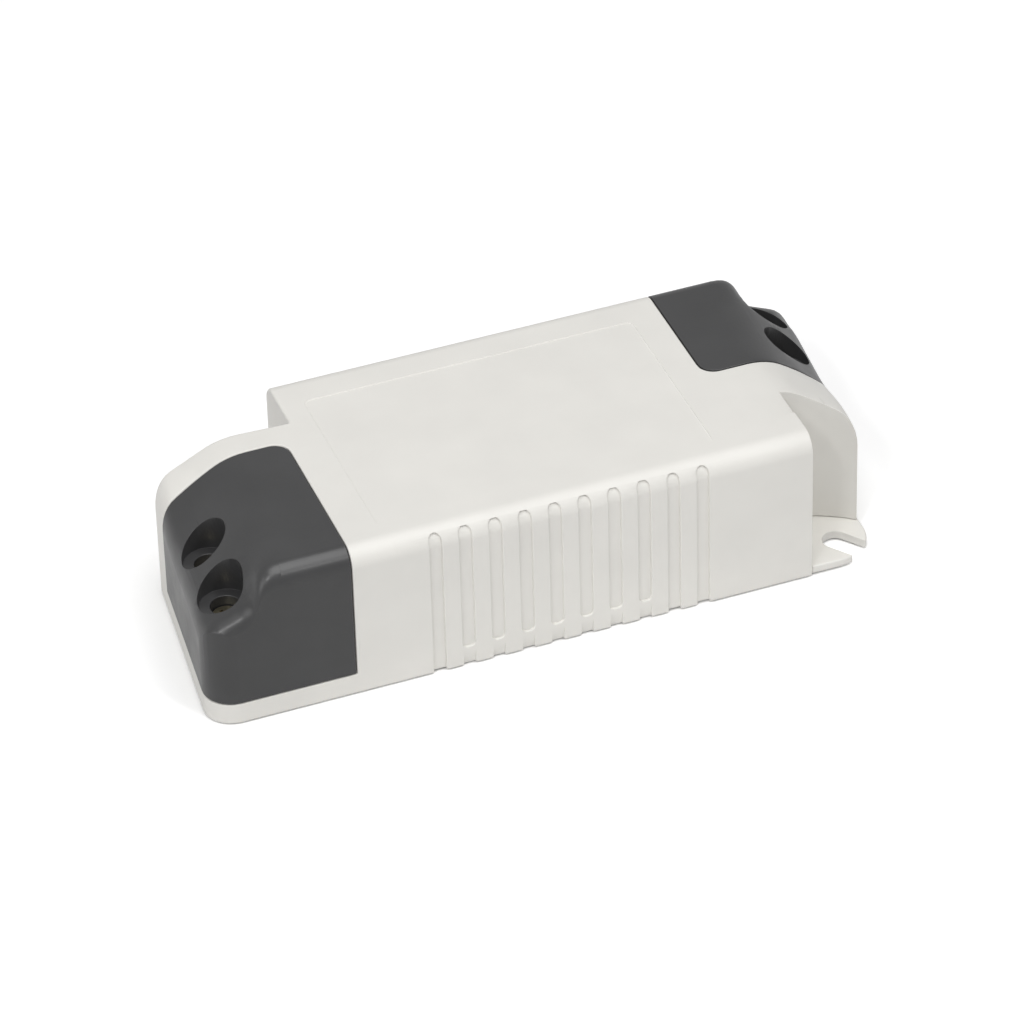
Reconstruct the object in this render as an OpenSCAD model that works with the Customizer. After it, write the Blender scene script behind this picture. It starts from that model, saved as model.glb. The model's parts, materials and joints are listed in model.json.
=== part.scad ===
// Power converter in a long plastic case with a terminal cover at each end.
// X runs along the case, Y across it and Z up, with the origin at the middle of its underside.

/* [Case] */
// Overall length of the case, in mm
case_l = 109; // [106:0.5:116]
// Overall width of the case
case_w = 45; // [44:0.5:50]
// Overall height of the case
case_h = 25.8; // [25:0.1:29]
// Wall thickness of the mouldings
wall_t = 2; // [1.6:0.1:2.2]
// Radius along the two long top edges
edge_r = 3; // [2.4:0.1:3.6]
// Radius of the outer upright corners
corner_r = 4.5; // [3.5:0.1:5.5]

/* [Ends] */
// Length of each cover
cover_l = 22.6; // [21.5:0.1:23.5]
// Height of the band of case below each cover
band_h = 3.4; // [3:0.1:4.5]
// Length of the ramp at each end
ramp_l = 10.4; // [9:0.1:11]
// Height lost over the ramp beside the notch
rim_drop = 5.5; // [4.5:0.1:6]
// Height lost over the ramp away from the notch
side_drop = 9.1; // [8.5:0.1:9.2]
// Thickness of the mounting ears and of the base
ear_t = 1.4; // [1.2:0.1:1.8]
// Width of the screw slot in each ear
slot_w = 4.1; // [3.5:0.1:4.3]

/* [Side grooves] */
// Number of grooves on each long side
groove_n = 10; // [4:1:10]
// Spacing of the grooves
groove_pitch = 4.68; // [4.2:0.02:4.8]
// Width of one groove
groove_w = 2; // [1.4:0.1:2.4]
// Depth of one groove
groove_d = 0.4; // [0.2:0.05:0.5]

/* [Screw wells] */
// Radius of each screw well
well_r = 3.9; // [3.7:0.05:4.1]
// How far the wells lean outward, in degrees
well_lean = 11; // [6:0.5:12]
// Height of the floor of the screw wells
well_floor = 16.3; // [16:0.1:16.4]
// Spacing of the two wells in the left cover
well_pitch = 10.3; // [10:0.1:10.4]

/* [Circuit] */
// Thickness of the circuit board
board_t = 1.6; // [1.2:0.2:2]
// Height of the underside of the board
board_z = 4.6; // [4.2:0.1:5]

/* [Hidden] */
$fn = 48;

// Gap between a cover and the case around it
seam = 0.16;
// Gap between the base and the walls it drops between
base_gap = 0.1;
// Small lift and overshoot that keep cut faces off each other
bite = 0.02;
over = 1;

half_l = case_l / 2;
half_w = case_w / 2;
cover_x = half_l - cover_l;
room_w = half_w - wall_t;
board_top = board_z + board_t;

// Each end is described in the frame of the left end, and the right end is turned half round.
// slant: how far the end face leans in plan, in mm for each mm across
// wall_y: where the compartment wall stands, at the end face
// rim_y and root_y: the same wall at the ramp and where the notch begins, on the curved side
// lid_y: where the cover stops across the case
// notch_x: where the notch for the mounting ear begins
left_slant = 0.11;
right_slant = 0.09;
left_wall_y = half_w - 10.1;
right_wall_y = half_w - 8.1;
right_rim_y = half_w - 11;
right_root_y = half_w - 12.8;
left_lid_y = half_w - 15.5;
right_lid_y = half_w - 21.1;
left_notch_x = -half_l + 24.75;
right_notch_x = -half_l + 13.75;
left_ear_x = half_l - 5.9;
right_ear_x = half_l - 2.5;
// The notch wall beside the left ear leans by this much over its length
left_wall_lean = 1;
// The notch wall beside the right ear is an arc of this radius, through right_wall_y at wall_end_x
right_wall_r = 21;
wall_middle_x = half_l - 16.5;
wall_end_x = half_l - 2.9;

// Ramp: corners of its section before rounding, as distance from the end face and height.
// rim: beside the notch, mid: where the wells are, shelf: at the outer side, with its steep step
mid_u = 5.2;
mid_foot_drop = 4.2;
mid_more = 0.2;
shelf_u = 7.4;
shelf_foot_drop = 5.9;
shelf_less = 0.95;
rim_corners = [
    [0, 0], [0, case_h - rim_drop], [ramp_l / 2, case_h - rim_drop / 2],
    [ramp_l, case_h], [ramp_l + 6, case_h]
];
mid_corners = [
    [0, 0], [0, case_h - side_drop], [mid_u, case_h - mid_foot_drop],
    [ramp_l + mid_more, case_h], [ramp_l + 6, case_h]
];
shelf_corners = [
    [0, 0], [0, case_h - side_drop], [shelf_u, case_h - shelf_foot_drop],
    [ramp_l - shelf_less, case_h], [ramp_l + 6, case_h]
];
// How far each rounding reaches before and after its corner
rim_reach = [[5, 3.2], [1, 1], [3, 3]];
mid_reach = [[3, 2.5], [1.5, 1.5], [3.4, 3.4]];
shelf_reach = [[4, 3], [2, 2], [2.8, 2.9]];
// Widths over which rim turns into mid, and mid into shelf
rim_w = 13.9;
shelf_w = 9.2;

// Ears
ear_y = half_w - 0.2;
ear_corner_r = 6.4;
slot_x = half_l - 7.75;
slot_y = half_w - 5.1;
slot_angle = 53;

// Label recess in the top, left bare
label_l = 2 * cover_x - 10.8;
label_w = case_w - 12;
label_x = 0.4;
label_y = -1;
label_r = 1;
label_d = 0.12;

// Cover screws
seat_z = well_floor - 3.2;
post_top = seat_z - 1.6;
post_r = 1.8;
screw_r = 1.25;
screw_head_r = 2.1;
screw_head_h = 1.5;
head_pocket_r = 2.3;
screw_bottom = 4.4;
tube_r = well_r + 1.4;
// How far a leaning tube reaches inward from its screw, at its lowest end
tube_reach = tube_r / cos(well_lean) + (well_floor - post_top) * tan(well_lean);
// The first screw of each cover, measured from the end and from the outer side
left_well_end = 6.25;
left_well_side = 17.6;
right_well_end = 6.5;
right_well_side = 15.8;
// How much the second well stands nearer the end
left_well_step = 1;
right_well_step = 0.3;
// How much closer together the wells of the right cover are
right_closer = 0.9;

// Grooves
front_groove_x = 2.1;
back_groove_x = 0.9;
groove_bottom = 3.2;

// Ledge that carries the inner edge of a cover
ledge_w = 1.2;
ledge_h = 1.3;

// Board and what holds it
board_end_x = half_l - 9.7;
board_side_y = room_w - 0.9;
board_left_y = left_wall_y - wall_t - 1.8;
board_right_y = -right_root_y + wall_t + 1.2;
board_post_r = 2.4;
board_post_y = half_w - 5.5;
board_post_x = cover_x - 4.9;
board_posts = [
    [-board_post_x, -board_post_y], [board_post_x, board_post_y],
    [-board_post_x, board_left_y - 3.1], [board_post_x, -board_post_y]
];
board_screw_r = 1;
board_screw_bottom = 2.1;

// Parts on the board are given for usual_cover_x, and the long ones follow the room's length.
// Round ones follow it by the square root, so that they still fit across the board.
usual_cover_x = 31.9;
stretch = cover_x / usual_cover_x;
round_stretch = sqrt(stretch);

// Terminal blocks
pole_pitch = 5;
block_start = cover_x + 1.9;
block_end = half_l - max(left_well_end, right_well_end) - tube_reach - 0.4;
block_d = block_end - block_start;
block_x = (block_start + block_end) / 2;
block_h = 10;
terminal_screw_r = 1.7;
input_poles = 3;
output_poles = 2;
input_block_y = -7;
output_block_y = 8;

// Choke
choke_x = -12.2 * stretch;
choke_y = -room_w + 9.1;
choke_inner_r = 3.6 * round_stretch;
choke_ring_w = 2.9 * round_stretch;
choke_ring_h = 5.4;
choke_wire_t = 0.9;
choke_lift = choke_wire_t;

// Transformer
trans_x = 13 * stretch;
trans_y = -3.5;
trans_lift = 1;
core_d = 6;
core_w = 16;
core_h = 14;
core_side = 2.2;
window_w = 3.7;
flange_t = 0.8;
flange_l = 15 * stretch;
flange_w = 10.8;

// Parts that stand in rows across the board, placed from its sides
fuse_y = -board_post_y + 6.5;
varistor_y = fuse_y + 10.5;
reservoir_y = room_w - 7;
diode_y = -room_w + 2.9;
inductor_y = diode_y + 6.7;
suppression_y = room_w - 4.5;

// Heatsink
sink_y = -room_w + 1.3;
sink_t = 1.5;
sink_x = 5 * stretch;
sink_l = 16 * stretch;
fin_t = 1.2;
transistor_screw_z = 9.5;

// Colours
case_white = [0.89, 0.89, 0.87];
cover_grey = [0.32, 0.32, 0.32];
brass_steel = [0.62, 0.58, 0.45];
film_amber = [0.8, 0.62, 0.25];
board_green = [0.1, 0.35, 0.18];
block_green = [0.25, 0.55, 0.35];
fuse_brown = [0.35, 0.2, 0.12];
disc_blue = [0.12, 0.3, 0.6];
ferrite_grey = [0.2, 0.2, 0.21];
copper = [0.72, 0.42, 0.2];
box_yellow = [0.85, 0.75, 0.25];
chip_black = [0.08, 0.08, 0.08];
can_black = [0.1, 0.1, 0.14];
bobbin_black = [0.12, 0.12, 0.12];
tape_yellow = [0.85, 0.72, 0.2];
aluminium = [0.75, 0.76, 0.78];

left_wells = [
    for (i = [0, 1])
        [-half_l + left_well_end - i * left_well_step, -half_w + left_well_side - i * well_pitch]
];
right_wells = [
    for (i = [0, 1])
        [-half_l + right_well_end - i * right_well_step,
         -half_w + right_well_side - i * (well_pitch - right_closer)]
];

function toward(a, b, d) = a + (b - a) * d / norm(b - a);
function bend(a, v, b, n) =
    [for (i = [0 : n]) let (t = i / n) pow(1 - t, 2) * a + 2 * t * (1 - t) * v + t * t * b];
function mix(a, b, t) = [for (i = [0 : len(a) - 1]) a[i] * (1 - t) + b[i] * t];
function ease(t) = let (s = max(0, min(1, t))) s * s * (3 - 2 * s);

// Points of a closed outline with each corner rounded to its own radius
function unit(v) = v / norm(v);
function fillet(a, v, b, r, n) =
    r <= 0 ? [v] :
    let (
        p = unit(a - v), q = unit(b - v),
        half = acos(p * q) / 2,
        reach = r / tan(half),
        centre = v + unit(p + q) * r / sin(half),
        from = v + p * reach - centre, to = v + q * reach - centre,
        turn = 180 - 2 * half
    )
    [for (i = [0 : n]) let (s = i / n)
        centre + (sin((1 - s) * turn) * from + sin(s * turn) * to) / sin(turn)];
function rounded(points, radii, n = 8) =
    let (m = len(points))
    [for (i = [0 : m - 1])
        each fillet(points[(i + m - 1) % m], points[i], points[(i + 1) % m], radii[i], n)];

// Section of the ramp, from the end face inward, as points of distance and height
function ramp_section(corners, reach, n) =
    [for (i = [1 : len(corners) - 2])
        each bend(
            toward(corners[i], corners[i - 1], reach[i - 1][0]),
            corners[i],
            toward(corners[i], corners[i + 1], reach[i - 1][1]),
            n)];

// Section of the ramp at a given y, between the rim beside the notch and the outer side
function ramp_line(y, wall_y, n) =
    let (
        mid = mix(ramp_section(rim_corners, rim_reach, n),
                  ramp_section(mid_corners, mid_reach, n), ease((wall_y - y) / rim_w)),
        start = half_w - shelf_w, end = half_w - edge_r
    )
    mix(mid, ramp_section(shelf_corners, shelf_reach, n), ease((-start - y) / (end - start)));

// Where the end face stands at a given y
function end_x(y, slant) = -half_l + slant * (y + half_w - corner_r);

// Cross-section of the case, drawn across the width
module side_section(inset = 0) {
    r = edge_r - inset;
    w = half_w - inset;
    top = case_h - inset;
    difference() {
        translate([-w, -over])
            square([2 * w, top + over]);
        for (side = [-1, 1])
            difference() {
                translate([side * w - (side > 0 ? r : 0), top - r])
                    square([r, r]);
                translate([side * (w - r), top - r])
                    circle(r = r);
            }
    }
}

module long_section(length, inset = 0) {
    translate([-length / 2, 0, 0])
        rotate([90, 0, 90])
            linear_extrude(length)
                side_section(inset);
}

// Outline of the whole case seen from above, before the notches are cut
module outline(inset = 0) {
    w = half_w - inset;
    r = corner_r - inset;
    polygon(rounded(
        [
            [end_x(-w, left_slant) + inset, -w],
            [-end_x(w, right_slant) - inset, -w],
            [-end_x(-w, right_slant) - inset, w],
            [end_x(w, left_slant) + inset, w]
        ],
        [r, 0, r, 0]));
}

// The two notches that leave room above the mounting ears
module left_notch(inset = 0) {
    far = half_w + over;
    polygon([
        [left_notch_x + inset, left_wall_y - left_wall_lean - inset],
        [-half_l - 2 * over, left_wall_y + left_wall_lean * 0.2 - inset],
        [-half_l - 2 * over, far],
        [left_notch_x + inset, far]
    ]);
}

module right_notch(inset = 0) {
    centre_y = -right_wall_y - sqrt(pow(right_wall_r, 2) - pow(wall_end_x - wall_middle_x, 2));
    intersection() {
        translate([wall_middle_x, centre_y])
            circle(r = right_wall_r + inset, $fn = 120);
        translate([-right_notch_x - inset, -half_w - over])
            square([half_l, 2 * half_w]);
    }
}

module case_plan(inset = 0) {
    difference() {
        outline(inset);
        left_notch(inset);
        right_notch(inset);
    }
}

// Volume above the ramp of one end, in the frame of the left end
module ramp_cut(slant, wall_y, inset = 0, fine = 6) {
    straight = half_w - edge_r;
    rows = [
        [wall_y + 4, 0],
        for (i = [0 : 5]) [wall_y - rim_w * i / 5, 0],
        for (i = [0 : 4]) [-half_w + shelf_w - (shelf_w - edge_r) * i / 4, 0],
        for (a = [15 : 15 : 75]) [-straight - edge_r * sin(a), edge_r * (1 - cos(a))],
        [-half_w - 0.4, edge_r * 1.5]
    ];
    sections = [
        for (row = rows)
            let (
                line = ramp_line(row[0], wall_y, fine),
                low = line[0], high = line[len(line) - 1]
            )
            [
                [-2 * over, low[1] - row[1]],
                for (p = line) [p[0] - bite, p[1] - row[1]],
                [high[0] + bite, case_h + over],
                [-2 * over, case_h + over]
            ]
    ];
    count = len(sections[0]);
    points = [
        for (j = [0 : len(rows) - 1])
            for (p = sections[j])
                [end_x(rows[j][0], slant) + p[0] + inset, rows[j][0], p[1] - inset]
    ];
    faces = [
        [for (i = [0 : count - 1]) i],
        [for (i = [count - 1 : -1 : 0]) (len(rows) - 1) * count + i],
        for (j = [0 : len(rows) - 2])
            for (i = [0 : count - 1])
                let (a = j * count + i, b = j * count + (i + 1) % count)
                each [[a, b + count, b], [a, a + count, b + count]]
    ];
    polyhedron(points = points, faces = faces);
}

module right_end() {
    rotate([0, 0, 180])
        children();
}

// Plan of the area that one cover takes up, in the frame of the left end
module lid_plan(lid_y, gap = 0) {
    polygon(rounded(
        [
            [-half_l - 2 * over, -half_w - over],
            [-cover_x - gap, -half_w - over],
            [-cover_x - gap, lid_y - gap],
            [-half_l - 2 * over, lid_y - gap]
        ],
        [0, 0, 2.6, 0]));
}

// The case as a solid block with its outer form, before it is split and hollowed
module case_block() {
    intersection() {
        linear_extrude(case_h)
            case_plan();
        long_section(case_l + 4);
    }
}

// Both ramps at once, set inward by the wall thickness for the inner faces
module ramp_cuts(inset = 0, fine = 6) {
    ramp_cut(left_slant, left_wall_y, inset, fine);
    right_end()
        ramp_cut(right_slant, right_rim_y, inset, fine);
}

// Room inside the case, up to the underside of the top wall
module interior() {
    difference() {
        translate([0, 0, -over])
            linear_extrude(case_h - wall_t + over)
                case_plan(wall_t);
        ramp_cuts(wall_t, 3);
    }
}

// Housing

// One groove as seen from the side, with a round top and softened bottom corners
module groove_shape(bottom) {
    half = groove_w / 2;
    top = case_h - 0.7;
    foot_r = bottom < 0 ? 0 : half * 0.75;
    polygon(rounded(
        [[-half, bottom], [half, bottom], [half, top], [-half, top]],
        [foot_r, foot_r, half * 0.97, half * 0.97], 5));
}

// Ten grooves for one long side, seen from the front
module groove_row(middle) {
    first = middle - groove_pitch * (groove_n - 1) / 2;
    for (i = [0 : groove_n - 1]) {
        long_one = i == 0 || i >= groove_n - 2;
        translate([first + i * groove_pitch, 0, 0]) {
            rotate([90, 0, 0])
                linear_extrude(half_w + over)
                    groove_shape(long_one ? -over : groove_bottom);
            if (!long_one)
                foot_notch();
        }
    }
}

// Shallow notch at the bottom edge under a short groove
module foot_notch() {
    width = groove_w * 0.95;
    translate([-width / 2, 0, 0])
        rotate([90, 0, 90])
            linear_extrude(width)
                polygon([
                    [-half_w - over, -over], [-half_w + groove_d * 1.2, -over],
                    [-half_w + groove_d * 1.2, 0], [-half_w - bite, groove_bottom - 0.6],
                    [-half_w - over, groove_bottom - 0.6]
                ]);
}

module side_grooves() {
    difference() {
        union() {
            groove_row(front_groove_x);
            rotate([0, 0, 180])
                groove_row(-back_groove_x);
        }
        long_section(case_l + 8, groove_d);
        translate([-case_l, -half_w + 1.2, -2 * over])
            cube([2 * case_l, case_w - 2.4, case_h]);
    }
}

module label_recess() {
    half = [label_l / 2, label_w / 2];
    translate([label_x, label_y, case_h - label_d])
        linear_extrude(over)
            polygon(rounded(
                [[-half[0], -half[1]], [half[0], -half[1]], [half[0], half[1]], [-half[0], half[1]]],
                [label_r, label_r, label_r, label_r], 4));
}

// Wall across the case just inside a cover, above the board, in the left end's frame
module partition() {
    low = board_top + 0.4;
    translate([-cover_x, -half_w, low])
        cube([wall_t, case_w, case_h]);
    // Ledge under the inner edge of the cover
    translate([-cover_x - ledge_w, -half_w + wall_t + 0.15, case_h - wall_t - seam - ledge_h])
        cube([ledge_w + bite, case_w - 2 * wall_t - 0.3, ledge_h]);
}

// Plan of one mounting ear and its root inside the case, in the left end's frame
module ear_plan(ear_x, notch_x, wall_y, gap = 0) {
    root_y = wall_y - wall_t - 2;
    polygon(rounded(
        [
            [notch_x - base_gap + gap, root_y], [-ear_x - gap, root_y],
            [-ear_x - gap, ear_y + gap], [notch_x - base_gap + gap, ear_y + gap]
        ],
        [0, 0, ear_corner_r, 0], 12));
    translate([notch_x - over, root_y])
        square([wall_t + 2 * over, half_w - wall_t - base_gap + gap - root_y]);
}

// Open slot in an ear, running out through its round corner, in the left end's frame
module ear_slot(ear_x) {
    shift = ear_x - right_ear_x;
    translate([-slot_x - shift, slot_y, -over])
        rotate([0, 0, 180 - slot_angle]) {
            cylinder(h = ear_t + 2 * over, r = slot_w / 2);
            translate([0, -slot_w / 2, 0])
                cube([4 * slot_w, slot_w, ear_t + 2 * over]);
        }
}

module ears(gap = 0) {
    ear_plan(left_ear_x, left_notch_x, left_wall_y - left_wall_lean, gap);
    rotate(180)
        ear_plan(right_ear_x, right_notch_x, right_root_y, gap);
}

module housing() {
    color(case_white)
        difference() {
            case_block();
            ramp_cuts();
            translate([0, 0, band_h]) {
                linear_extrude(case_h)
                    lid_plan(left_lid_y);
                right_end()
                    linear_extrude(case_h)
                        lid_plan(right_lid_y);
            }
            difference() {
                interior();
                partition();
                right_end()
                    partition();
            }
            side_grooves();
            label_recess();
            // Room for the ears where they pass under the notch walls
            translate([0, 0, -over])
                linear_extrude(over + ear_t + 0.05)
                    ears(base_gap);
        }
}

// Base with both mounting ears and the posts that the screws run into
module base_plate() {
    color(case_white)
        difference() {
            union() {
                linear_extrude(ear_t) {
                    case_plan(wall_t + base_gap);
                    ears();
                }
                post_pair(left_wells);
                right_end()
                    post_pair(right_wells);
                for (p = board_posts)
                    translate(p)
                        cylinder(h = board_z, r = board_post_r);
            }
            ear_slot(left_ear_x);
            right_end()
                ear_slot(right_ear_x);
            pilot_pair(left_wells);
            right_end()
                pilot_pair(right_wells);
            for (i = [0, 1])
                translate([board_posts[i][0], board_posts[i][1], board_screw_bottom - 0.2])
                    cylinder(h = board_z, r = board_screw_r);
        }
}

module post_pair(wells) {
    for (p = wells)
        translate(p)
            cylinder(h = post_top, r = post_r);
}

module pilot_pair(wells) {
    for (p = wells)
        translate([p[0], p[1], screw_bottom - 0.2])
            cylinder(h = post_top, r = screw_r);
}

// Terminal covers

// Round bar that leans outward through the middle of a well's floor, cut flat at its bottom
module leaning_bore(r, bottom) {
    intersection() {
        translate([0, 0, well_floor])
            rotate([0, -well_lean, 0])
                translate([0, 0, -case_h])
                    cylinder(h = 2 * case_h, r = r);
        translate([-2 * r, -2 * r, bottom])
            cube([4 * r, 4 * r, case_h]);
    }
}

// One cover in the left end's frame: a thin shell with two screw wells
module cover(slant, wall_y, lid_y, wells) {
    difference() {
        intersection() {
            children();
            translate([0, 0, band_h + seam])
                linear_extrude(case_h)
                    lid_plan(lid_y, seam);
            union() {
                difference() {
                    translate([-case_l, -case_w, 0])
                        cube([case_l, 2 * case_w, case_h + over]);
                    difference() {
                        translate([0, 0, -over])
                            linear_extrude(case_h - wall_t + over)
                                cover_room(slant);
                        ramp_cut(slant, wall_y, wall_t, 3);
                    }
                }
                for (p = wells)
                    translate(p)
                        leaning_bore(tube_r, post_top);
            }
        }
        ramp_cut(slant, wall_y);
        for (p = wells)
            translate([p[0], p[1], 0]) {
                leaning_bore(well_r, well_floor);
                translate([0, 0, seat_z])
                    cylinder(h = well_floor - seat_z + bite, r = head_pocket_r);
                cylinder(h = seat_z + bite, r = screw_r + 0.2);
            }
    }
}

// Plan of the room under a cover, open toward the middle of the case
module cover_room(slant) {
    polygon(rounded(
        [
            [end_x(-room_w, slant) + wall_t, -room_w], [0, -room_w],
            [0, half_w + over], [end_x(half_w + over, slant) + wall_t, half_w + over]
        ],
        [corner_r - wall_t, 0, 0, 0]));
}

module input_cover() {
    color(cover_grey)
        cover(left_slant, left_wall_y, left_lid_y, left_wells)
            case_block();
}

module output_cover() {
    color(cover_grey)
        right_end()
            cover(right_slant, right_rim_y, right_lid_y, right_wells)
                right_end()
                    case_block();
}

// Pan-head screw with a cross recess, standing on its seat at the origin
module pan_screw(head_r, head_h, shank_r, shank_l) {
    difference() {
        union() {
            cylinder(h = head_h, r = head_r);
            translate([0, 0, -shank_l])
                cylinder(h = shank_l + bite, r = shank_r);
        }
        for (turn = [20, 110])
            rotate([0, 0, turn])
                translate([-head_r * 0.62, -head_r * 0.13, head_h * 0.45])
                    cube([head_r * 1.24, head_r * 0.26, head_h]);
    }
}

module cover_screw_pair(wells) {
    for (p = wells)
        translate([p[0], p[1], seat_z])
            pan_screw(screw_head_r, screw_head_h, screw_r, seat_z - screw_bottom);
}

module cover_screws() {
    color(brass_steel) {
        cover_screw_pair(left_wells);
        right_end()
            cover_screw_pair(right_wells);
    }
}

// Circuit

module insulation_sheet() {
    color(film_amber)
        translate([0, 0, ear_t])
            difference() {
                linear_extrude(0.3)
                    polygon(board_outline(1));
                for (p = board_posts)
                    translate([p[0], p[1], -over])
                        cylinder(h = 2 * over, r = board_post_r + 0.3);
            }
}

// Outline of the board, stepped round the two notches
function board_outline(inset = 0) =
    let (
        x1 = board_end_x - inset, y1 = board_side_y - inset,
        left_step = left_notch_x + wall_t + 0.6 + inset,
        right_step = -right_notch_x - wall_t - 0.6 - inset
    )
    [
        [-x1, -y1], [right_step, -y1], [right_step, board_right_y + inset],
        [x1, board_right_y + inset], [x1, y1], [left_step, y1],
        [left_step, board_left_y - inset], [-x1, board_left_y - inset]
    ];

module circuit_board() {
    color(board_green)
        translate([0, 0, board_z])
            difference() {
                linear_extrude(board_t)
                    polygon(board_outline());
                for (i = [0, 1])
                    translate([board_posts[i][0], board_posts[i][1], -over])
                        cylinder(h = board_t + 2 * over, r = board_screw_r + 0.2);
            }
}

module board_screws() {
    color(brass_steel)
        for (i = [0, 1])
            translate([board_posts[i][0], board_posts[i][1], board_top])
                pan_screw(2, 1.3, board_screw_r, board_top - board_screw_bottom);
}

// Places a component on the top face of the board
module on_board(x, y) {
    translate([x, y, board_top])
        children();
}

// Terminal block with one wire opening and one screw shaft for each pole
module terminal_block(poles) {
    width = poles * pole_pitch;
    difference() {
        translate([-block_d / 2, -width / 2, 0])
            cube([block_d, width, block_h]);
        for (i = [0 : poles - 1])
            translate([0, (i - (poles - 1) / 2) * pole_pitch, 0]) {
                translate([-block_d, -pole_pitch * 0.36, 1])
                    cube([block_d * 1.3, pole_pitch * 0.72, 4]);
                translate([0, 0, 2])
                    cylinder(h = block_h, r = terminal_screw_r);
            }
    }
}

// Clamp screws of a terminal block, each on a small pressure plate
module terminal_screws(poles) {
    for (i = [0 : poles - 1])
        translate([0, (i - (poles - 1) / 2) * pole_pitch, 5.2])
            difference() {
                cylinder(h = block_h - 6, r = terminal_screw_r);
                translate([-terminal_screw_r, -0.35, block_h - 7])
                    cube([2 * terminal_screw_r, 0.7, 2]);
            }
}

module input_terminal_block() {
    color(block_green)
        on_board(-block_x, input_block_y)
            terminal_block(input_poles);
}

module input_terminal_screws() {
    color(brass_steel)
        on_board(-block_x, input_block_y)
            terminal_screws(input_poles);
}

module output_terminal_block() {
    color(block_green)
        on_board(block_x, output_block_y)
            rotate([0, 0, 180])
                terminal_block(output_poles);
}

module output_terminal_screws() {
    color(brass_steel)
        on_board(block_x, output_block_y)
            rotate([0, 0, 180])
                terminal_screws(output_poles);
}

// Two legs under a part, from the board up to its body
module legs(spread, height, r = 0.4) {
    for (side = [-1, 1])
        translate([side * spread / 2, 0, 0])
            cylinder(h = height, r = r);
}

module fuse() {
    color(fuse_brown)
        on_board(-24.5 * stretch, fuse_y) {
            legs(5, 1.1);
            translate([0, 0, 1])
                cylinder(h = 7.6, r = 4.2 * round_stretch);
        }
}

module varistor() {
    color(disc_blue)
        on_board(-25.5 * stretch, varistor_y)
            rotate([0, 0, 90]) {
                legs(5, 2.6);
                translate([0, 2, 6])
                    rotate([90, 0, 0])
                        cylinder(h = 4, r = 5);
            }
}

// Ring section of the choke's core, or of its winding when grown
module choke_section(grow = 0) {
    translate([choke_inner_r - grow, choke_lift - grow])
        square([choke_ring_w + 2 * grow, choke_ring_h + 2 * grow]);
}

module choke_core() {
    color(ferrite_grey)
        on_board(choke_x, choke_y)
            rotate_extrude()
                choke_section();
}

// Two windings on opposite halves of the ring
module choke_windings() {
    color(copper)
        on_board(choke_x, choke_y)
            difference() {
                union()
                    for (start = [35, 215])
                        rotate([0, 0, start])
                            rotate_extrude(angle = 110)
                                choke_section(choke_wire_t);
                rotate_extrude()
                    choke_section();
            }
}

module mains_capacitor() {
    color(box_yellow)
        on_board(-17.9 * stretch, 5) {
            rotate([0, 0, 90])
                legs(10, 0.6);
            translate([-3 * stretch, -6.5, 0.5])
                cube([6 * stretch, 13, 11]);
        }
}

module bridge_rectifier() {
    color(chip_black)
        on_board(-8 * stretch, 2.5) {
            for (x = [-2.6, 2.6])
                translate([x, 0, 0])
                    rotate([0, 0, 90])
                        legs(7, 1.4, 0.35);
            translate([-4.25 * stretch, -3.2, 0.6])
                cube([8.5 * stretch, 6.4, 2.6]);
        }
}

// Lying can capacitor with a groove near its crimped end
module reservoir_capacitor() {
    r = 5.5;
    length = 20 * stretch;
    color(can_black)
        on_board(-13 * stretch, reservoir_y) {
            translate([0, 0, r])
                rotate([0, 90, 0])
                    rotate_extrude()
                        polygon([
                            [0, 0], [r, 0], [r, 2], [r - 0.5, 2.5], [r, 3],
                            [r, length - 0.8], [r - 0.8, length], [0, length]
                        ]);
            // Leads, bent down to the board
            translate([-1, 0, 0])
                rotate([0, 0, 90])
                    legs(5, r, 0.4);
            for (side = [-1, 1])
                translate([-1, side * 2.5, r])
                    rotate([0, 90, 0])
                        cylinder(h = 1 + bite, r = 0.4);
        }
}

module suppression_capacitor() {
    color(disc_blue)
        on_board(14.5 * stretch, suppression_y) {
            legs(5, 3);
            translate([0, 1.5, 5])
                rotate([90, 0, 0])
                    cylinder(h = 3, r = 4 * round_stretch);
        }
}

// Ferrite core of the transformer, with a middle leg between two windows
module transformer_core() {
    color(ferrite_grey)
        on_board(trans_x, trans_y)
            translate([-core_d / 2, -core_w / 2, trans_lift])
                difference() {
                    cube([core_d, core_w, core_h]);
                    for (side = [0, 1])
                        translate([-over, side ? core_w - core_side - window_w : core_side, core_side])
                            cube([core_d + 2 * over, window_w, core_h - 2 * core_side]);
                }
}

// Bobbin on the middle leg, with a flange at each end of the window
module transformer_bobbin() {
    height = core_h - 2 * core_side;
    leg = core_w - 2 * core_side - 2 * window_w;
    pin_l = trans_lift + core_side;
    color(bobbin_black)
        on_board(trans_x, trans_y)
            translate([0, 0, trans_lift + core_side])
                difference() {
                    union() {
                        for (x = [-1, 1], y = [-1, 1])
                            translate([x * (flange_l / 2 - 1), y * (flange_w / 2 - 1), -pin_l])
                                cylinder(h = pin_l + bite, r = 0.5);
                        for (z = [0, height - flange_t])
                            translate([-flange_l / 2, -flange_w / 2, z])
                                cube([flange_l, flange_w, flange_t]);
                        translate([-core_d / 2 - 0.8, -leg / 2 - 0.8, 0])
                            cube([core_d + 1.6, leg + 1.6, height]);
                    }
                    translate([-core_d / 2, -leg / 2, -over])
                        cube([core_d, leg, height + 2 * over]);
                }
}

module transformer_winding() {
    height = core_h - 2 * core_side - 2 * flange_t;
    leg = core_w - 2 * core_side - 2 * window_w;
    inner = [core_d + 1.6, leg + 1.6];
    color(tape_yellow)
        on_board(trans_x, trans_y)
            translate([0, 0, trans_lift + core_side + flange_t])
                linear_extrude(height)
                    difference() {
                        ring_plan(flange_l - 2.4, flange_w - 0.8, 1.8);
                        square(inner, center = true);
                    }
}

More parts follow.
